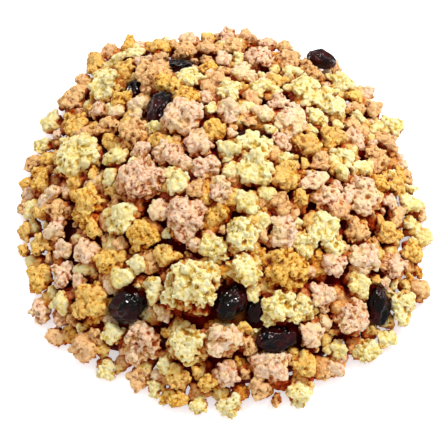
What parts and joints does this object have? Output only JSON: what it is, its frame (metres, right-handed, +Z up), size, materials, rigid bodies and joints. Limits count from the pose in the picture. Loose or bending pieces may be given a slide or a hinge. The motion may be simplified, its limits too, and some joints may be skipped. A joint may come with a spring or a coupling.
{
  "type": "heap of granola clusters",
  "caption": "Loose heap of granola: uneven crunchy oat clusters in a low dome that lies flat, with wrinkled dried cherries between them.",
  "frame": {"origin": "middle of the flat underside of the heap, on the surface it lies on", "axes": "+Z up, -Y towards the side that faces the viewer, +X to the viewer's right"},
  "size_m": [0.1372, 0.1422, 0.0404],
  "materials": {
    "oat_cluster": "crumbly baked oats in cream, pink, golden and toasted tones, matt with a faint sugar glaze",
    "dried_cherry": "wrinkled dark red to black skin with a sticky gloss"
  },
  "bodies": {
    "root": {"granola_heap": "oat_cluster", "cherry_1": "dried_cherry", "cherry_2": "dried_cherry", "cherry_3": "dried_cherry", "cherry_4": "dried_cherry", "cherry_5": "dried_cherry", "cherry_6": "dried_cherry", "cherry_7": "dried_cherry", "cherry_8": "dried_cherry", "cherry_9": "dried_cherry", "cherry_10": "dried_cherry"}
  },
  "joints": []
}
